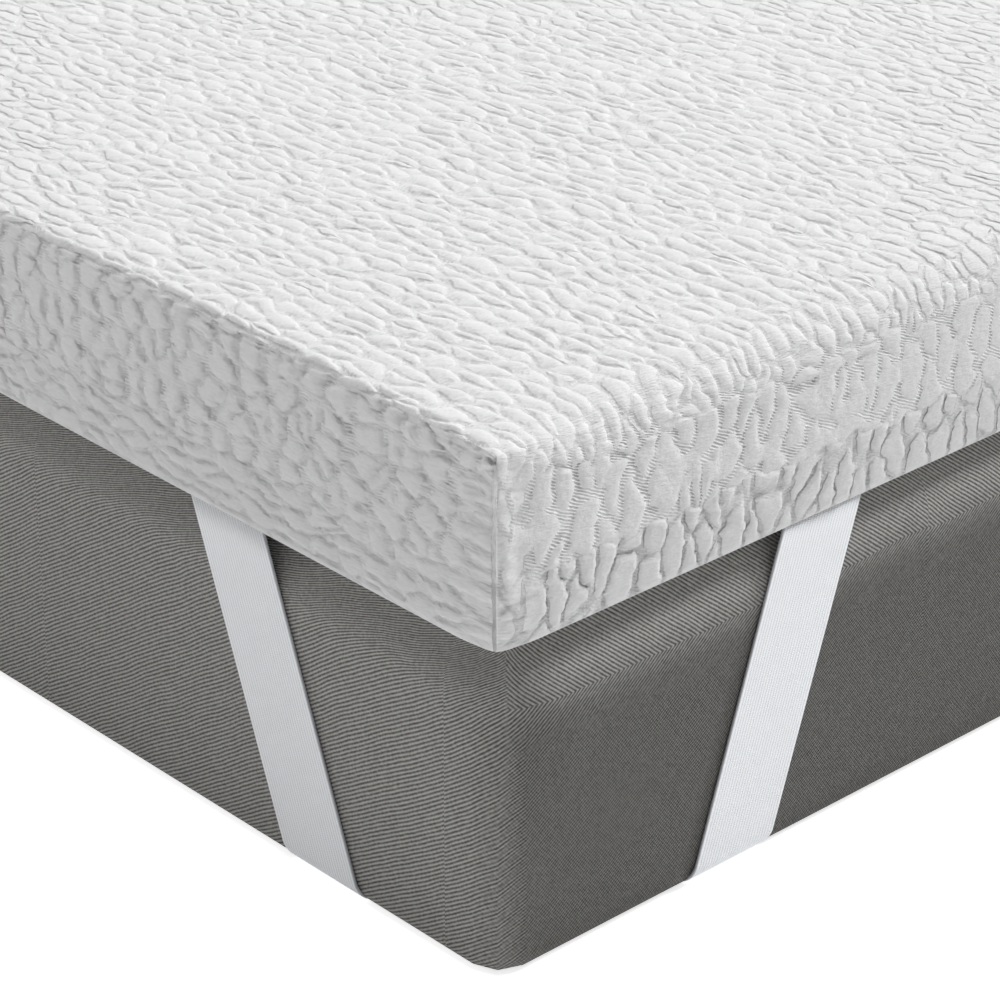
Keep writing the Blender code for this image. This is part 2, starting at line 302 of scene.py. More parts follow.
# %% [markdown]
# The place that each point would have on the cloth laid flat is kept as well. The quilting is
# drawn by that flat place, so its cells run on over the edges without a break. A few marks go
# with it: how far the cloth puffs up, how much of that the mesh is fine enough to show, where a
# seam gathers the cloth, and which panel the point lies on.

# %% The cloth laid flat
FLAT_AT_HEM = (0.0725, 0.0750)  # the depths between which the puffs die out
FLAT_AT_SEAM = (0.0005, 0.0030)  # the same, by the distance from a seam
COARSE_SHARE = 0.12  # how much of the relief the coarse mesh shows
COARSE_FROM = (-0.085, 0.030)  # where it turns coarse, from the fine part's rim
GATHERED_TO = (0.010, 0.020)  # how far from a seam the cloth is gathered
GATHERED_FROM = (0.004, 0.014)  # and how far down that starts
SIDE_FROM = (0.006, 0.018)  # how far down the long side's own look starts

cloth = np.zeros_like(home)
cloth[:, 0] = home[:, 0] + np.sign(home[:, 0]) * down * on_side
cloth[:, 1] = home[:, 1] + np.sign(home[:, 1]) * down * on_end
cloth[:, 2] = down
fullness = 1 - smooth_step(down, *FLAT_AT_HEM)
fullness *= smooth_step(from_corner, *FLAT_AT_SEAM) * upright + 1 - upright
coarse = smooth_step(beyond_fine(home[:, :2]), *COARSE_FROM)
gathered = (1 - smooth_step(from_corner, *GATHERED_TO)) * smooth_step(down, *GATHERED_FROM)
store(topper.data, "cloth", cloth, "FLOAT_VECTOR")
for name, values in {
    "fullness": fullness,
    "drawn": 1 - (1 - COARSE_SHARE) * coarse,
    "gathered": gathered,
    "end": on_end * 1.0,
    "side": on_side * smooth_step(down, *SIDE_FROM),
}.items():
    store(topper.data, name, values)
triangles = sum(len(face.vertices) - 2 for face in topper.data.polygons)
print("points:", len(home), "triangles:", triangles)

# %% [markdown]
# ## Nodes in few words
#
# The relief is made by Geometry Nodes and the finish by a shader, and both need the same
# cells. Most nodes of the two kinds are the same, so one recipe can draw the quilting in
# either tree. A long chain of nodes reads badly as code, so a small class lets the results of
# nodes be added and multiplied like numbers. Each such sum adds the node that reckons it.

# %% Sums with nodes
class Value:
    """The result of a node."""

    def __init__(self, socket):
        self.socket, self.tree = socket, socket.id_data

    def other(self, name):
        """Another result of the same node."""
        return Value(self.socket.node.outputs[name])

    def __add__(self, term):
        return reckon("ADD", self, term)

    def __sub__(self, term):
        return reckon("SUBTRACT", self, term)

    def __rsub__(self, term):
        return reckon("SUBTRACT", term, self)

    def __mul__(self, factor):
        return reckon("MULTIPLY", self, factor)

    def __truediv__(self, factor):
        return reckon("DIVIDE", self, factor)

    def __abs__(self):
        return reckon("ABSOLUTE", self)

    __radd__, __rmul__ = __add__, __mul__


def put(tree, kind, inputs=None, **settings):
    """Adds a node, links or fills each input that is named, and returns its first result."""
    node = tree.nodes.new(kind)
    for name, value in settings.items():
        setattr(node, name, value)
    for key, value in (inputs or {}).items():
        if isinstance(value, Value):
            tree.links.new(value.socket, node.inputs[key])
        else:
            node.inputs[key].default_value = value
    return Value(node.outputs[0]) if node.outputs else None


def reckon(operation, *values):
    tree = next(value.tree for value in values if isinstance(value, Value))
    return put(tree, "ShaderNodeMath", dict(enumerate(values)), operation=operation)


# %% Helpers for both kinds of tree
def between(share, first, second):
    """first where the share is 0, second where it is 1."""
    return (second - first) * share + first


def ramp(value, start, stop, low=0.0, high=1.0):
    """Goes smoothly from low to high while the value goes from start to stop."""
    inputs = {0: value, 1: start, 2: stop, 3: low, 4: high}
    return put(value.tree, "ShaderNodeMapRange", inputs, interpolation_type="SMOOTHSTEP")


def wave_of(level, pitch):
    """A sine of the level, once in each pitch."""
    return reckon("SINE", level * (2 * math.pi / pitch))


def parts(place):
    x = put(place.tree, "ShaderNodeSeparateXYZ", {0: place})
    return x, x.other(1), x.other(2)


def reckon_places(operation, first, second=(0.0, 0.0, 0.0)):
    return put(first.tree, "ShaderNodeVectorMath", {0: first, 1: second}, operation=operation)


def cloud(place, grain, detail=1.0):
    """Soft noise from 0 to 1, with waves about as long as grain."""
    inputs = {"Vector": place, "Scale": 1 / grain, "Detail": detail}
    return put(place.tree, "ShaderNodeTexNoise", inputs, noise_dimensions="3D")


def stray(place, grain, reach):
    """Moves a place about, up to half of reach each way."""
    colour = cloud(place, grain).other("Color")
    centred = reckon_places("SUBTRACT", colour, (0.5, 0.5, 0.5))
    return reckon_places("ADD", place, reckon_places("MULTIPLY", centred, (reach, reach, 0.0)))


def choose(chosen, first, second):
    """The first place where chosen is 0, the second where it is 1."""
    inputs = {0: chosen, 4: first, 5: second}
    return put(chosen.tree, "ShaderNodeMix", inputs, data_type="VECTOR").other(1)


# %% [markdown]
# ## The quilting
#
# The cover is knitted in two layers with a soft yarn between them. Where the layers are tied
# together the cloth sinks into a narrow groove, and between the ties it puffs up into a flat
# cell. The cells are long across the bed, about 16 mm by 7 mm, and no two are alike. Cells of
# a Voronoi texture, stretched one way and led astray by noise, give that at any place without
# drawing one of them by hand. The distance to a cell's edge says how deep the groove is.
# Grooves that run along the cells are deep and those at their ends are shallow, so the long
# lines lead the eye. Real cells don't meet in sharp corners, so the corners are cut off.
#
# The top's cloth runs on down the long sides, where the cells are larger and many grooves lie
# nearly flat. The ends have their own panel, sewn on below the top's rim, where the cells
# stand upright. Round the foot of every side runs a band of tall cells. Each of these is the
# same pattern at another scale, and a wavering line parts it from the next.

# %% The scale of the cells
TOP_CELL = (0.0165, 0.0068)  # along the cell, across it
SIDE_CELL = (0.0210, 0.0100)
SIDE_BAND_CELL = (0.0240, 0.0105)
END_CELL = (0.0105, 0.0125)
END_BAND_CELL = (0.0160, 0.0078)
CELL_SLANT = math.radians(-2)
BROAD_STRAY = (0.045, 0.011)  # the waves that lead the cells astray: how long, how far
FINE_STRAY = (0.0078, 0.0050)
SIDE_START = 0.0155  # how far below the top the cells of the side begin
BAND_START = 0.0495  # and those of the band
LINE_WAVE, LINE_WAVER = 0.012, 0.012
END_LIMIT = 0.02


def lies_on_end(marks):
    """1 on an end panel and 0 elsewhere, with nothing between that would smear the pattern."""
    return reckon("GREATER_THAN", marks["end"], END_LIMIT)


def cell_place(along, across, cell):
    """A place counted in cells."""
    return put(along.tree, "ShaderNodeCombineXYZ", {0: along / cell[0], 1: across / cell[1]})


def place_on_cells(cloth, on_end):
    """The place counted in the cells of its own zone, and its level against the zones' lines."""
    led = stray(stray(cloth, *BROAD_STRAY), *FINE_STRAY)
    x, y, depth = parts(led)
    inputs = {"Vector": led, "Angle": CELL_SLANT}
    turned = put(led.tree, "ShaderNodeVectorRotate", inputs, rotation_type="Z_AXIS")
    level = (cloud(cloth, LINE_WAVE) - 0.5) * LINE_WAVER + depth
    side_cells = cell_place(x, y, SIDE_CELL)
    below_edge = reckon("GREATER_THAN", level, SIDE_START)
    long_side = choose(below_edge, cell_place(*parts(turned)[:2], TOP_CELL), side_cells)
    above_band = choose(on_end, long_side, cell_place(abs(y), x, END_CELL))
    end_band = cell_place(x, abs(y), END_BAND_CELL)
    band = choose(on_end, cell_place(x, y, SIDE_BAND_CELL), end_band)
    return choose(reckon("GREATER_THAN", level, BAND_START), above_band, band), level


# %% The depth of the grooves
CELL_RANDOMNESS = 0.92
BAND_BLEND = 0.002
ENDWISE = (-0.08, 0.28)
ENDWISE_FILL = (0.45, 0.65)  # how far such grooves are filled: elsewhere, on an end
FAINT_PATCH = 0.008
FAINT_FROM = (0.45, 0.65)
FAINT_FILL = (0.25, 0.50)
OPEN_PATCH = 0.015
OPEN_FROM = (0.42, 0.50)
CLOSED_FILL = 0.85


def cells(place, kind):
    inputs = {"Vector": place, "Scale": 1.0, "Randomness": CELL_RANDOMNESS}
    settings = {"voronoi_dimensions": "2D", "feature": kind}
    return put(place.tree, "ShaderNodeTexVoronoi", inputs, **settings)


def open_patches(cloth):
    """Where the grooves of the long sides are pulled open, from 0 to 1."""
    return ramp(cloud(cloth, OPEN_PATCH), *OPEN_FROM)


def depth_of_grooves(cloth, marks, aside, on_end, in_band):
    """How deep a groove would be here, from 0 to 1: less at the ends of a cell and in places."""
    aside_x, aside_y, _ = parts(reckon_places("ABSOLUTE", aside))
    endwise = ramp(aside_x - aside_y, *ENDWISE) * between(on_end, *ENDWISE_FILL)
    broken = ramp(cloud(cloth, FAINT_PATCH), *FAINT_FROM, 0.0, between(on_end, *FAINT_FILL))
    closed = (1.0 - open_patches(cloth)) * marks["side"] * between(in_band, CLOSED_FILL, 0.0)
    return 1.0 - reckon("MAXIMUM", reckon("MAXIMUM", endwise, broken), closed)


# %% The height of the cells
MEAN_HEIGHT = 0.65
LOWEST_CELL = 0.7
TILT = 0.5  # how far each cell leans
CORNER_START = 0.5  # how far from its middle a cell's corners are cut off
ROUNDING = 0.6  # and how far
STEEP_FROM = (-0.22, 0.22)
SIDE_LAP = 0.6  # how wide the gentle edges are down the long sides
BAND_SHOULDER = 0.62
END_SHOULDER = 0.25
SWELL = 0.20  # how uneven the cells are
SWELL_WAVE = 0.006
SWELL_STRETCH = (0.6, 1.0, 1.0)
LINE_WIDTH = 0.0018
LINE_DIP = 0.45
FOLD_WAVE = 0.0042
FOLD_STRETCH = (0.3, 0.3, 1.0)
FOLD_RANGE = (0.36, 0.64, 0.35, 0.95)  # the noise, and the heights that it gives
ON_SIDE = 0.70  # how high the cells of the long sides stand, to those of the top
ON_END = 1.15
IN_BAND = 1.2
OVER_EDGE = (-0.022, 0.006)  # where the top turns into the side, on the cloth laid flat
# The painted shade by a groove: its width at a gentle edge and at a steep one, its reach down the
# long sides, and how strong it stays on an end.
SHADE_WIDTH = (0.20, 0.07)  # at a gentle edge, at a steep one
GROOVE_SHADE_EDGE = (0.05, 0.125)
END_SHADE = 0.7


def strength(cloth, on_end, in_band):
    """How high the cells stand, to those of the top."""
    edge_start, edge_end = (TOPPER_HALF[0] + limit for limit in OVER_EDGE)
    on_side = ramp(abs(parts(cloth)[0]), edge_start, edge_end)
    return between(on_end, between(on_side, 1.0, between(in_band, ON_SIDE, IN_BAND)), ON_END)


def quilting(cloth, marks, lip, lap):
    """Height from 0 in a groove to 1 on a cell, and the painted shade by the groove, from 0 to 1.

    marks holds what is known of each place: whether it lies on an end, how far it lies on a
    long side, and how far it is gathered by a corner's seam. lip is the width, in cells, of a
    cell's steep edge. lap is that of its gentle one. The mean height is taken off at the end.
    """
    on_end = lies_on_end(marks)
    place, level = place_on_cells(cloth, on_end)
    in_band = ramp(level, BAND_START - BAND_BLEND, BAND_START + BAND_BLEND)
    cell = cells(place, "F1")
    outside = reckon("MAXIMUM", cell - CORNER_START, 0.0)
    edge = cells(place, "DISTANCE_TO_EDGE") - outside * ROUNDING
    aside = reckon_places("SUBTRACT", place, cell.other("Position"))
    across = parts(aside)[1]
    deep = depth_of_grooves(cloth, marks, aside, on_end, in_band)

    steep = ramp(across, *STEEP_FROM)
    shoulder = between(steep, between(marks["side"], lap, SIDE_LAP * lap), lip)
    shoulder = shoulder * between(in_band, 1.0, BAND_SHOULDER)
    shoulder = between(on_end, shoulder, END_SHOULDER)
    sunk = ramp(edge, 0.0, shoulder, 1.0, 0.0) * deep
    top = between(parts(cell.other("Color"))[0], LOWEST_CELL, 1.0)
    height = (1.0 - sunk) * top * (across * TILT + 1.0)

    swell = cloud(reckon_places("MULTIPLY", cloth, SWELL_STRETCH), SWELL_WAVE) - 0.5
    height = height + swell * between(on_end, SWELL, 0.0)
    off_line = reckon("MINIMUM", abs(level - BAND_START), abs(level - SIDE_START) + on_end)
    height = height * (1.0 - ramp(off_line, 0.0, LINE_WIDTH, LINE_DIP, 0.0) * deep)
    folds = cloud(reckon_places("MULTIPLY", cloth, FOLD_STRETCH), FOLD_WAVE)
    height = between(marks["gathered"], height, ramp(folds, *FOLD_RANGE))

    # Painted shade by each groove, wider on a cell's gentle edge. The knit's colour darkens by it.
    soft_shade = ramp(edge, 0.0, between(steep, *SHADE_WIDTH), 1.0, 0.0)
    near = between(marks["side"], soft_shade, ramp(edge, *GROOVE_SHADE_EDGE, 1.0, 0.0))
    near = near * deep * between(on_end, 1.0, END_SHADE)
    return (height - MEAN_HEIGHT) * strength(cloth, on_end, in_band), near


# %% [markdown]
# ## Puffing the cloth up
#
# A Geometry Nodes tree moves each point of the slab out along its normal by the height of the
# quilting there. Where the mesh is too coarse to hold a cell only part of the height is
# given, and the shader's bump makes up the rest. The result is kept as a plain mesh.

# %% The tree that puffs the cells
MESH_EDGES = (0.26, 0.38)  # the steep edge and the gentle one, wide enough for the mesh
MARKS = ("end", "side", "gathered")


def reading(tree, name, kind="FLOAT"):
    return put(tree, "GeometryNodeInputNamedAttribute", {"Name": name}, data_type=kind)


def new_tree(name, sizes):
    """A tree with a mesh in, a mesh out, a material and one named input for each size."""
    tree = bpy.data.node_groups.new(name, "GeometryNodeTree")
    kinds = {"Mesh": "Geometry", "Finish": "Material"} | {size: "Float" for size in sizes}
    sockets = {
        label: tree.interface.new_socket(label, in_out="INPUT", socket_type=f"NodeSocket{kind}")
        for label, kind in kinds.items()
    }
    tree.interface.new_socket("Mesh", in_out="OUTPUT", socket_type="NodeSocketGeometry")
    return tree, put(tree, "NodeGroupInput"), sockets


def end_tree(start, lift):
    """Moves each point out by the lift, and gives the result its finish."""
    tree = start.tree
    normal = put(tree, "GeometryNodeInputNormal")
    offset = put(tree, "ShaderNodeVectorMath", {0: normal, "Scale": lift}, operation="SCALE")
    inputs = {"Geometry": start.other("Mesh"), "Offset": offset}
    moved = put(tree, "GeometryNodeSetPosition", inputs)
    realized = put(tree, "GeometryNodeRealizeInstances", {0: moved})
    inputs = {"Geometry": realized, "Material": start.other("Finish")}
    put(tree, "NodeGroupOutput", {0: put(tree, "GeometryNodeSetMaterial", inputs)})


def apply_tree(obj, tree, sockets, finish, sizes):
    """Runs the tree on an object and keeps the result as its plain mesh."""
    modifier = obj.modifiers.new(tree.name, "NODES")
    modifier.node_group = tree
    modifier[sockets["Finish"].identifier] = finish
    for name, value in sizes.items():
        modifier[sockets[name].identifier] = value
    bake(obj)


def bake(obj):
    """Replaces an object's mesh by what its modifiers make of it."""
    graph = bpy.context.evaluated_depsgraph_get()
    mesh = bpy.data.meshes.new_from_object(
        obj.evaluated_get(graph), preserve_all_data_layers=True, depsgraph=graph
    )
    obj.modifiers.clear()
    old = obj.data
    obj.data = mesh
    bpy.data.meshes.remove(old)
    mesh.name = obj.name
    mesh.shade_smooth()


puff, start, puff_sockets = new_tree("Puff the cells", ["Relief"])
marks = {name: reading(puff, name) for name in MARKS}
height, _ = quilting(reading(puff, "cloth", "FLOAT_VECTOR"), marks, *MESH_EDGES)
lift = height * reading(puff, "fullness") * reading(puff, "drawn") * start.other("Relief")
end_tree(start, lift)
print("nodes in the tree:", len(puff.nodes))

# %% [markdown]
# ## The cover's finish
#
# White polyester knit is matt, with a faint sheen where fibres catch the light. Its grooves
# are painted greyer, as painted shade where less light gets into them, wider on each cell's
# gentle edge. Down the long sides the knit is pulled open along some grooves, and the yarns
# that cross them show as tiny rungs, like a ladder in a stocking. Their colour goes light and
# dark with their bump, and the dark is painted shade in the gaps. A pale thread shows in the
# seam down each corner. Fine noise gives the loops of the knit, which are too small to model.

# %% Helpers for a finish
def new_finish(name, roughness, sheen):
    """A cloth shader with its fixed values set on its own sockets."""
    material = bpy.data.materials.new(name)
    material.use_nodes = True
    shader = material.node_tree.nodes["Principled BSDF"]
    shader.inputs["Roughness"].default_value = roughness
    shader.inputs["Sheen Weight"].default_value = sheen
    shader.inputs["Sheen Roughness"].default_value = 0.5
    shader.inputs["Specular IOR Level"].default_value = 0.25
    return material, material.node_tree, shader


def feed(shader, name, value):
    value.tree.links.new(value.socket, shader.inputs[name])


def attribute(tree, name, result="Fac"):
    kind = {"attribute_name": name, "attribute_type": "GEOMETRY"}
    return put(tree, "ShaderNodeAttribute", **kind).other(result)


def colour_between(share, first, second):
    """The first colour where the share is 0, the second where it is 1."""
    inputs = {0: share}
    for key, colour in ((6, first), (7, second)):
        inputs[key] = (*colour, 1.0) if isinstance(colour, tuple) else colour
    return put(share.tree, "ShaderNodeMix", inputs, data_type="RGBA").other(2)


def raise_surface(shader, height):
    """Bump from a height in metres."""
    inputs = {"Height": height, "Distance": 1.0, "Strength": 1.0}
    feed(shader, "Normal", put(height.tree, "ShaderNodeBump", inputs))


# %% The knit's relief
RELIEF = 0.0015
BUMP_EDGES = (0.13, 0.24)  # narrower, since bump needs no points
BUMP_LEFT = (1.17, 0.55)  # the bump's share where the mesh is coarse, where it is fine

knit, tree, shader = new_finish("White quilted knit", 0.92, 0.10)
cloth_here = attribute(tree, "cloth", "Vector")
marks = {name: attribute(tree, name) for name in MARKS}
on_end_here = lies_on_end(marks)
height, groove_shade = quilting(cloth_here, marks, *BUMP_EDGES)
left_over = between(attribute(tree, "drawn"), *BUMP_LEFT)
raised = height * attribute(tree, "fullness") * left_over * RELIEF

# %% Its ladders
RUNG_PITCH = 0.00130
RUNG_HEIGHT = 0.00038
RUNG_SLANT = 0.5
RUNG_WOBBLE = 0.0015
WOBBLE_WAVE = 0.006
END_LADDERS = 0.35  # how open the grooves of the ends are
GATHERED_LADDERS = 0.2
LADDERS_TO = (0.044, 0.052, 1.0, 0.15)  # how far down they reach, and what is left below

far_across, far_along, depth = parts(cloth_here)
wobble = cloud(cloth_here, WOBBLE_WAVE)
slanted = far_along * (1.0 - on_end_here) * RUNG_SLANT
open_groove = groove_shade * open_patches(cloth_here) * (marks["end"] * END_LADDERS + marks["side"])
open_groove = open_groove * ramp(depth, *LADDERS_TO)
open_groove = open_groove * between(marks["gathered"], 1.0, GATHERED_LADDERS)
rungs = wave_of(wobble * RUNG_WOBBLE + depth - slanted, RUNG_PITCH) * open_groove
raised = raised + rungs * RUNG_HEIGHT

# %% Its loops
LOOP_SIZE = 0.0009
LOOP_HEIGHT = 0.00055
LOOP_STRETCH = (1.0, 0.35, 0.2)
LOOP_STRETCH_ON_END = (0.3, 0.0, 1.0)
LOOP_SHARE = (0.7, 1.4)  # on a cell, in a groove

loop_place, loop_place_on_end = (
    reckon_places("MULTIPLY", cloth_here, stretch)
    for stretch in (LOOP_STRETCH, LOOP_STRETCH_ON_END)
)
loops = cloud(choose(on_end_here, loop_place, loop_place_on_end), LOOP_SIZE, 2.0)
loops = loops * between(groove_shade, *LOOP_SHARE)
raised = raised + loops * LOOP_HEIGHT

# %% The thread in its corner seams
THREAD_WAVER = 0.0012
THREAD_WIDTH = (0.0003, 0.0011)
THREAD_FROM = (0.008, 0.014)
THREAD_TO = (0.042, 0.050, 1.0, 0.25)
THREAD_HEIGHT = 0.0003

half_width, half_length = (float(half) for half in TOPPER_HALF)
from_seam = reckon("MAXIMUM", half_length - abs(far_along), half_width - abs(far_across))
from_seam = from_seam + (wobble - 0.5) * THREAD_WAVER
seam_thread = ramp(from_seam, *THREAD_WIDTH, 1.0, 0.0)
seam_thread = seam_thread * ramp(depth, *THREAD_FROM) * ramp(depth, *THREAD_TO)
raise_surface(shader, raised + seam_thread * THREAD_HEIGHT)

# %% Its tone
COVER_LIGHT = (0.86, 0.86, 0.86)
COVER_SHADE = (0.42, 0.42, 0.425)
PLAIN_TONE = 0.57
GROOVE_SHADE_TONE = (-0.30, -0.49)  # on the top, on a long side
LADDER_TONE = 0.50
RUNG_TONE = 0.62
LOOP_TONE, MEAN_LOOP = 0.36, 0.4
THREAD_TONE = 0.9

# Painted shade darkens the grooves. The rungs' colour follows their bump, with painted shade in
# the gaps between them.
tone = groove_shade * between(marks["side"], *GROOVE_SHADE_TONE) + PLAIN_TONE
tone = tone + open_groove * LADDER_TONE + rungs * RUNG_TONE
tone = tone + (loops - MEAN_LOOP) * LOOP_TONE + seam_thread * THREAD_TONE
feed(shader, "Base Color", colour_between(tone, COVER_SHADE, COVER_LIGHT))
print("nodes in the knit:", len(tree.nodes))

# %% The topper, puffed up
apply_tree(topper, puff, puff_sockets, knit, {"Relief": RELIEF})
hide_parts("topper")
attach(topper, "root")
print("topper:", len(topper.data.vertices), "points")

# %% [markdown]
# ## The straps' way round a corner
#
# A strap is sewn in under the topper's lower edge. It slants down one face of the mattress
# towards the corner, bends under the lower edge, turns under the corner and comes up the
# other face. p counts from the corner along the end, q along the side, so one route serves
# all four corners.

# %% The strap's sizes
STRAP_WIDTH = 0.038
STRAP_THICKNESS = 0.0016
STRAP_CLEARANCE = 0.0004
STRAP_BEND = 0.007  # the radius of its bend under the lower edge
STRAP_BEND_STEPS = 8
STRAP_TURN = 0.090  # the radius of its turn under the corner
STRAP_TURN_STEPS = 24
STRAP_RISE_STEPS = 12
STRAP_ON_END = (0.1442, 0.0945)  # from the corner: at the topper, and at the lower edge
STRAP_ON_SIDE = (0.1599, 0.1172)
CORNERS = [(1, -1), (1, 1), (-1, 1), (-1, -1)]


# %% The route
def rise():
    """The way up a face: inwards, height and distance, from the underside to the topper."""
    middle = STRAP_CLEARANCE + STRAP_THICKNESS / 2
    points = []
    for step in range(STRAP_BEND_STEPS + 1):
        angle = math.pi / 2 * step / STRAP_BEND_STEPS
        inwards = STRAP_BEND * (1 - math.sin(angle)) - middle
        points.append((inwards, STRAP_BEND * (1 - math.cos(angle)) + STRAP_THICKNESS / 2))
    start = points[-1][1]
    for step in range(1, STRAP_RISE_STEPS + 1):
        points.append((-middle, start + (MATTRESS_HEIGHT - start) * step / STRAP_RISE_STEPS))
    distances = [0.0]
    for first, second in zip(points, points[1:]):
        distances.append(distances[-1] + math.dist(first, second))
    bend = distances[STRAP_BEND_STEPS]
    return [(*point, distance - bend) for point, distance in zip(points, distances)]


def slope(places):
    return (places[0] - places[1]) / MATTRESS_HEIGHT


def rows_up(places, half_width):
    """The strap's two edges at each step up one face, with inwards and height."""
    spread = half_width * math.hypot(1.0, slope(places))
    for inwards, height, distance in rise():
        middle = places[1] + slope(places) * distance
        yield middle - spread, middle + spread, inwards, height


def rows_under(half_width):
    """The strap's inner and outer edge at each step of the turn under the corner."""
    way_in = Vector((-slope(STRAP_ON_END), 1.0)).normalized()
    way_out = Vector((-1.0, slope(STRAP_ON_SIDE))).normalized()
    start = Vector((STRAP_ON_END[1], 0.0))
    between_ends = Vector((0.0, STRAP_ON_SIDE[1])) - start
    meeting = start + way_in * (between_ends.cross(way_out) / way_in.cross(way_out))
    turn = way_in.angle(way_out)
    to_centre = Vector((-way_in.y, way_in.x))
    centre = meeting - way_in * STRAP_TURN * math.tan(turn / 2) + to_centre * STRAP_TURN
    first = math.atan2(-to_centre.y, -to_centre.x)
    for step in range(STRAP_TURN_STEPS + 1):
        angle = first + turn * step / STRAP_TURN_STEPS
        ray = Vector((math.cos(angle), math.sin(angle)))
        yield centre + ray * (STRAP_TURN - half_width), centre + ray * (STRAP_TURN + half_width)


def strap_rows(half_width):
    """Both edges of the strap, row by row, as (p, q, height)."""
    rows = [((near, i, h), (far, i, h)) for near, far, i, h in rows_up(STRAP_ON_END, half_width)]
    rows.reverse()
    floor = STRAP_THICKNESS / 2
    rows += [((*inner, floor), (*outer, floor)) for inner, outer in rows_under(half_width)]
    rows += [((i, near, h), (i, far, h)) for near, far, i, h in rows_up(STRAP_ON_SIDE, half_width)]
    return rows


# %% [markdown]
# ## The elastic
#
# Woven elastic has fine cords running its whole length, 26 of them side by side here. The
# band starts as a strip with four points for each cord. A Geometry Nodes tree lifts the
# middle of every cord, and a Solidify modifier gives the band its thickness, so that both
# faces are ribbed, as on the real thing.

# %% The tree that ribs a band
CORDS = 26
CORD_POINTS = 4
CORD_HEIGHT = 0.00016

ribs, start, rib_sockets = new_tree("Rib the elastic", ["Cords", "Cord height"])
cord = abs(reckon("SINE", reading(ribs, "across") * start.other("Cords") * math.pi))
end_tree(start, (cord - 1.0) * start.other("Cord height"))
print("nodes in the tree:", len(ribs.nodes))

# %% The elastic's finish
ELASTIC_WHITE = (0.92, 0.935, 0.96)
ELASTIC_SHADE = (0.62, 0.635, 0.67)
VALLEY = (0.05, 0.75)  # where the shade of a cord fades, by its height
WEFT_PITCH = 0.0008
WEFT_HEIGHT = 0.00006

elastic, tree, shader = new_finish("White ribbed elastic", 0.75, 0.1)
cord = abs(reckon("SINE", attribute(tree, "across") * (CORDS * math.pi)))
# Painted shade darkens the valleys between the cords, on top of the shade from their modelled
# relief.
shade = ramp(cord, *VALLEY, 1.0, 0.0)
feed(shader, "Base Color", colour_between(shade, ELASTIC_WHITE, ELASTIC_SHADE))
weft = wave_of(attribute(tree, "along"), WEFT_PITCH)
raise_surface(shader, weft * cord * WEFT_HEIGHT)
print("nodes in the elastic:", len(tree.nodes))


# %% Four straps
def strap_sheet(name, signs, half_width, points_across):
    """One corner's strap as a thin strip, with its places across and along the band."""
    shares = [step / (points_across - 1) for step in range(points_across)]
    bm = bmesh.new()
    strip = []
    for near, far in strap_rows(half_width):
        row = []
        for share in shares:
            p, q, height = (a + (b - a) * share for a, b in zip(near, far))
            x = signs[0] * (MATTRESS_HALF[0] - p)
            y = signs[1] * (MATTRESS_HALF[1] - q)
            row.append(bm.verts.new((x, y, height)))
        strip.append(row)
    for first, second in zip(strip, strip[1:]):
        for a, b, c, d in zip(first, first[1:], second[1:], second):
            bm.faces.new((a, b, c, d) if signs[0] * signs[1] < 0 else (d, c, b, a))
    middle = [row[points_across // 2].co for row in strip]
    lengths = [0.0]
    for first, second in zip(middle, middle[1:]):
        lengths.append(lengths[-1] + (second - first).length)
    obj = mesh_object(name, bm)
    store(obj.data, "across", np.tile(shares, len(strip)))
    store(obj.data, "along", np.repeat(lengths, points_across))
    return obj, lengths[-1]


def thicken(obj, thickness):
    """Gives a strip its thickness, half to each side, and keeps the result."""
    modifier = obj.modifiers.new("Thickness", "SOLIDIFY")
    modifier.thickness = thickness
    modifier.offset = 0.0
    bake(obj)


for number, signs in enumerate(CORNERS):
    points_across = CORDS * CORD_POINTS + 1
    strap, length = strap_sheet(f"elastic_strap_{number}", signs, STRAP_WIDTH / 2, points_across)
    apply_tree(strap, ribs, rib_sockets, elastic, {"Cords": CORDS, "Cord height": CORD_HEIGHT})
    thicken(strap, STRAP_THICKNESS - 2 * CORD_HEIGHT)
    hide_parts(f"strap_{number}")
    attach(strap, "root")
    print(strap.name, "length", round(length, 4))

# %% [markdown]
# ## The mattress
#
# The mattress is plain: a firm block with a softly rolled upper edge, corners that are rounder
# at the top than at the foot, and a tight woven cover. It starts as a box like the topper.
# Each strap lies in a shallow bed in its underside, which a Boolean modifier presses in.

# %% The mattress's form
MATTRESS_SPACING = (0.014, 0.014)
MATTRESS_DEPTHS = [0.004, 0.009, 0.014, 0.020, 0.027, 0.035, 0.045, 0.057]
MATTRESS_DEPTHS += [0.070, 0.084, 0.098, 0.111, 0.121, 0.128, 0.131, MATTRESS_HEIGHT]
MATTRESS_CORNER_TOP = 0.032
MATTRESS_CORNER_FOOT = 0.014
CORNER_FALL = 0.09  # how far down it has narrowed to the foot's radius
MATTRESS_EDGE = (0.025, 0.025)
FOOT_RADIUS = 0.006

bm = drawn_box(MATTRESS_HALF, MATTRESS_SPACING, MATTRESS_DEPTHS)
close_underside(bm)
mattress = mesh_object("mattress_cover", bm)
home = points_of(mattress.data)
down = -home[:, 2]
narrowed = np.clip(down / CORNER_FALL, 0.0, 1.0)
corner = MATTRESS_CORNER_TOP + (MATTRESS_CORNER_FOOT - MATTRESS_CORNER_TOP) * narrowed
place, outward = soft_form(
    home, MATTRESS_HALF, MATTRESS_HEIGHT, corner, MATTRESS_EDGE, MATTRESS_EDGE
)
into_foot = np.clip((FOOT_RADIUS - place[:, 2]) / FOOT_RADIUS, 0.0, 1.0)
tuck = FOOT_RADIUS * (1 - np.sqrt(1 - into_foot ** 2))
place[:, :2] -= outward * (tuck * (down > 0))[:, None]
mattress.data.vertices.foreach_set("co", place.ravel())

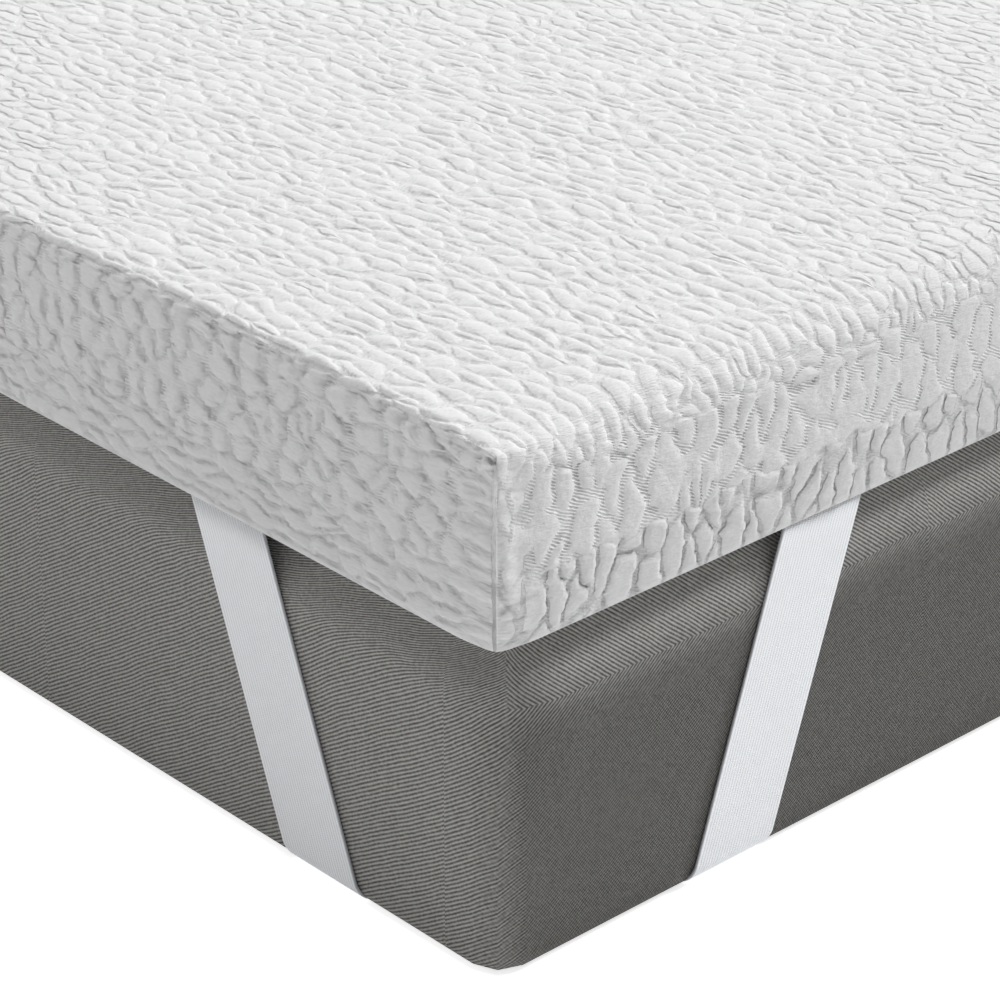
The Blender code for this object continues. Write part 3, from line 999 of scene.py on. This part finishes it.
# %% The beds of the straps
BED_ROOM = 0.0003
BED_POINTS = 9
for number, signs in enumerate(CORNERS):
    bed, _ = strap_sheet(f"bed_{number}", signs, STRAP_WIDTH / 2 + BED_ROOM, BED_POINTS)
    thicken(bed, STRAP_THICKNESS + 2 * BED_ROOM)
    cut = mattress.modifiers.new(bed.name, "BOOLEAN")
    cut.operation = "DIFFERENCE"
    cut.solver = "EXACT"
    cut.object = bed
bake(mattress)
for number in range(len(CORNERS)):
    bpy.data.objects.remove(bpy.data.objects[f"bed_{number}"], do_unlink=True)
print("mattress:", len(mattress.data.polygons), "faces")

# %% [markdown]
# ## The mattress's twill
#
# Twill weave shows as fine slanting stripes. The stripes are measured round the sides of the
# mattress, so they turn the corners without a break. On the ends they are broad and light,
# and over their rolled edge they lie flatter and closer. On the long sides they slant down over
# the rolled edge, turn back below it as in a herringbone, and go over into a finer, darker weave.
# Over the top of the roll the sides take the end's lighter colours. This is partly the roll's own
# twill and partly painted light against the topper's shadow.

# %% Places on the twill
ROUND_CORNER = 0.5 * (MATTRESS_CORNER_TOP + MATTRESS_CORNER_FOOT)
QUARTER = ROUND_CORNER * math.pi / 2
LONG, SHORT = 2 * (MATTRESS_HALF[1] - ROUND_CORNER), 2 * (MATTRESS_HALF[0] - ROUND_CORNER)
GIRTH = 2 * (LONG + SHORT) + 4 * QUARTER
TURN_SPAN = (0.25, 0.95)  # where an end goes over into a side, in quarter turns


def around(place):
    """How far round the mattress a place is, from the left of the foot end, to the right."""
    centre = MATTRESS_HALF - ROUND_CORNER
    past = place - np.clip(place, -centre, centre)
    angle = np.arctan2(past[:, 1], past[:, 0]) / (math.pi / 2)
    on_corner = (np.abs(past) > TINY).all(axis=1)
    x, y = np.clip(place, -centre, centre).T
    faces = [past[:, 1] < -TINY, past[:, 0] > TINY, past[:, 1] > TINY, past[:, 0] < -TINY]
    starts = np.cumsum([0.0, SHORT + QUARTER, LONG + QUARTER, SHORT + QUARTER])
    runs = [x + centre[0], y + centre[1], centre[0] - x, centre[1] - y]
    result = x.copy()
    for face, start, run in reversed(list(zip(faces, starts, runs))):
        result[face] = start + run[face]
    corner_angle = np.mod(angle + 1, 4)
    number = np.floor(corner_angle).astype(int) % 4
    corner_starts = (starts + [SHORT, LONG, SHORT, LONG])[number]
    on_arc = corner_starts + (corner_angle - np.floor(corner_angle)) * QUARTER
    result[on_corner] = on_arc[on_corner]
    return result


def store_round(mesh):
    """Keeps the distance round for each face corner, so that it can start again at one face."""
    far = around(points_of(mesh)[:, :2])
    loops = np.empty(len(mesh.loops), dtype=np.int32)
    mesh.loops.foreach_get("vertex_index", loops)
    values = far[loops]
    for polygon in mesh.polygons:
        span = slice(polygon.loop_start, polygon.loop_start + polygon.loop_total)
        part = values[span]
        if part.max() - part.min() > GIRTH / 2:
            values[span] = np.where(part < GIRTH / 2, part + GIRTH, part)
    kept = mesh.attributes.new("around", "FLOAT", "CORNER")
    kept.data.foreach_set("value", values.astype(np.float32))


place = points_of(mattress.data)
past = np.maximum(np.abs(place[:, :2]) - (MATTRESS_HALF - ROUND_CORNER), 0.0)
turn = np.arctan2(past[:, 0], np.maximum(past[:, 1], TINY)) / (math.pi / 2)
store(mattress.data, "turn", smooth_step(turn, *TURN_SPAN))
store_round(mattress.data)
print("girth", round(GIRTH, 4), "points", len(place))

# %% The stripes
STRIPE_PITCH = 0.00148
STRIPE_RISE = math.radians(33)
END_ROLL_LINE = 0.116  # the height above which the stripes of the ends lie flatter and closer
END_ROLL_BLEND = 0.012
CRAMPED = 1.3
ROLL_PITCH = 0.00135
ROLL_RISE = math.radians(40)
ROLL_LINE = 0.110  # the height at which the stripes of the long sides turn back
ROLL_BLEND = (-0.024, -0.006)  # where they go over into the fine weave, from that line
FINE_PITCH = 0.00112
FINE_RISE = math.radians(36)
CROSS_RISE = math.radians(-52)
CROSS_SHARE = 0.45
BEND_WAVE, BEND_HEIGHT = 0.050, 0.005
WAVER_WAVE, WAVER_HEIGHT = 0.012, 0.0010
JOG_EVERY = 0.235
JOG_HEIGHT = 0.4 * STRIPE_PITCH

twill, tree, shader = new_finish("Grey twill ticking", 0.88, 0.0)
round_here = attribute(tree, "around")
turn_here = attribute(tree, "turn")
here = put(tree, "ShaderNodeTexCoord").other("Object")
bend = cloud(put(tree, "ShaderNodeCombineXYZ", {0: round_here}), BEND_WAVE)
jogs = reckon("FLOOR", round_here / JOG_EVERY)
level_here = parts(here)[2] + bend * BEND_HEIGHT + cloud(here, WAVER_WAVE) * WAVER_HEIGHT
level_here = level_here + jogs * JOG_HEIGHT


def stripes(pitch, rise, level=level_here):
    """A wave that runs up to the right at the angle given, once in each pitch."""
    whole = round(GIRTH * math.sin(abs(rise)) / pitch)
    run = round_here * math.copysign(whole * pitch / GIRTH, rise)
    return wave_of(level * math.cos(rise) - run, pitch)


over_roll = reckon("SMOOTH_MAX", level_here - END_ROLL_LINE, 0.0, END_ROLL_BLEND)
broad = stripes(STRIPE_PITCH, STRIPE_RISE, over_roll * CRAMPED + level_here)
turned_back = stripes(ROLL_PITCH, ROLL_RISE, abs(level_here - ROLL_LINE) * -1.0)
fine = stripes(FINE_PITCH, CROSS_RISE) * CROSS_SHARE + stripes(FINE_PITCH, FINE_RISE)
near_roll = ramp(level_here, *(ROLL_LINE + limit for limit in ROLL_BLEND))
side_wave = between(near_roll, fine, turned_back)

# %% [markdown]
# At the upper corner the stripes of the end and of the side meet along a line. Lower down they
# fade into one another.

# %% The twill
ABRUPT_TURN = (0.40, 0.56)
ABRUPT_FROM = (0.050, 0.105)  # the heights between which the change turns abrupt
GRAIN_SIZE, GRAIN = 0.0012, 0.9
WAVE_SHARE = 0.46
DARK_BLEND = (-0.014, 0.013)  # where the dark of the sides ends, from the roll's line
TWILL_LIGHT = (0.44, 0.43, 0.412)
TWILL_DARK = (0.090, 0.087, 0.083)
SIDE_LIGHT = (0.208, 0.203, 0.193)
SIDE_DARK = (0.040, 0.039, 0.037)
TWILL_HEIGHT = 0.00010

abrupt = ramp(turn_here, *ABRUPT_TURN)
onto_side = between(ramp(level_here, *ABRUPT_FROM), turn_here, abrupt)
wave = between(onto_side, broad, side_wave)
grain = (cloud(here, GRAIN_SIZE, 2.0) - 0.5) * GRAIN
tone = wave * WAVE_SHARE + (grain + 0.5)
end_colour = colour_between(tone, TWILL_DARK, TWILL_LIGHT)
side_colour = colour_between(tone, SIDE_DARK, SIDE_LIGHT)
# Painted light: above the roll's line, in the topper's shadow, the long sides take the end's
# lighter colours. This is partly the roll's own twill.
below_painted_light = ramp(level_here, *(ROLL_LINE + limit for limit in DARK_BLEND), 1.0, 0.0)
feed(shader, "Base Color", colour_between(turn_here * below_painted_light, end_colour, side_colour))
raise_surface(shader, (wave + grain) * TWILL_HEIGHT)
print("nodes in the twill:", len(tree.nodes))

mattress.data.materials.clear()
mattress.data.materials.append(twill)
for polygon in mattress.data.polygons:
    polygon.material_index = 0
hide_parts("mattress")
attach(mattress, "root")

# %% [markdown]
# ## Floor, light and camera
#
# The object lies on a plain pale floor, which glows a little as a lit backdrop does. It glows
# more for the camera than for the object, so that it stays white without lighting the sides
# from below. An even sky fills the shadows and a wide lamp hangs overhead. A far lamp behind
# on the right makes the top the brightest, then the long side, then the end, and a weak low
# lamp rakes along the end and shows its cells. The camera looks down at the corner through a
# long lens, so that the edges stay nearly parallel.

# %% The floor
FLOOR_HALF = 14.0
FLOOR_WHITES = ((0.90, 0.90, 0.90), (0.92, 0.92, 0.92))
FLOOR_MOTTLE = 0.5
GLOW = 0.10
CAMERA_GLOW = 0.62  # added for what the camera sees itself

bm = bmesh.new()
bmesh.ops.create_grid(bm, x_segments=1, y_segments=1, size=FLOOR_HALF)
floor = mesh_object("studio_floor", bm)
paper, tree, shader = new_finish("White floor", 0.9, 0.0)
mottle = cloud(put(tree, "ShaderNodeTexCoord").other("Object"), FLOOR_MOTTLE)
feed(shader, "Base Color", colour_between(mottle, *FLOOR_WHITES))
shader.inputs["Emission Color"].default_value = (1.0, 1.0, 1.0, 1.0)
seen = put(tree, "ShaderNodeLightPath").other("Is Camera Ray")
feed(shader, "Emission Strength", seen * CAMERA_GLOW + GLOW)
floor.data.materials.append(paper)

# %% The light
SKY = 0.25
LAMPS = {  # place, aim, power in watts, size
    "overhead_light": ((0.3, -0.4, 3.4), (0.3, -0.5, 0.0), 74.0, 3.0),
    "key_light": ((2.3, 6.7, 5.7), (0.3, -0.7, 0.2), 735.0, 1.7),
    "fill_light": ((-1.3, -1.75, 0.60), (0.3, -0.95, 0.1), 7.2, 0.4),
}

world = bpy.data.worlds.new("Soft studio")
world.use_nodes = True
background = world.node_tree.nodes["Background"]
background.inputs["Color"].default_value = (1.0, 1.0, 1.0, 1.0)
background.inputs["Strength"].default_value = SKY
bpy.context.scene.world = world


def soft_lamp(name, place, aim, power, size):
    """A round lamp of the size given, which points at a place."""
    lamp = bpy.data.lights.new(name, "AREA")
    lamp.energy = power
    lamp.shape = "DISK"
    lamp.size = size
    aimed = (Vector(aim) - Vector(place)).to_track_quat("-Z", "Y").to_matrix().to_4x4()
    obj = bpy.data.objects.new(name, lamp)
    obj.matrix_world = Matrix.Translation(place) @ aimed
    bpy.context.scene.collection.objects.link(obj)


for name, settings in LAMPS.items():
    soft_lamp(name, *settings)
print("lamps:", sorted(LAMPS))

# %% The camera
CORNER_BELOW = Vector((TOPPER_HALF[0], -TOPPER_HALF[1], TOPPER_BASE))
CAMERA_OFFSET = Vector((0.78023, -0.71448, 0.59462))
CAMERA_HEADING = math.radians(137.447)
CAMERA_PITCH = math.radians(26.705)
SENSOR_WIDTH = 36.0
FOCAL_LENGTH = 131.58
FARTHEST_SEEN = 60.0

level_ahead = Vector((math.cos(CAMERA_HEADING), math.sin(CAMERA_HEADING), 0.0))
ahead = level_ahead * math.cos(CAMERA_PITCH) - Vector((0.0, 0.0, math.sin(CAMERA_PITCH)))
rightwards = Vector((math.sin(CAMERA_HEADING), -math.cos(CAMERA_HEADING), 0.0))
upwards = rightwards.cross(ahead)
lens = bpy.data.cameras.new("camera")
lens.sensor_width = SENSOR_WIDTH
lens.sensor_fit = "HORIZONTAL"
lens.lens = FOCAL_LENGTH
lens.clip_end = FARTHEST_SEEN
camera = bpy.data.objects.new("camera", lens)
turned = Matrix((rightwards, upwards, -ahead)).transposed().to_4x4()
camera.matrix_world = Matrix.Translation(CORNER_BELOW + CAMERA_OFFSET) @ turned
bpy.context.scene.collection.objects.link(camera)
bpy.context.scene.camera = camera
bpy.context.scene.view_settings.view_transform = "Standard"
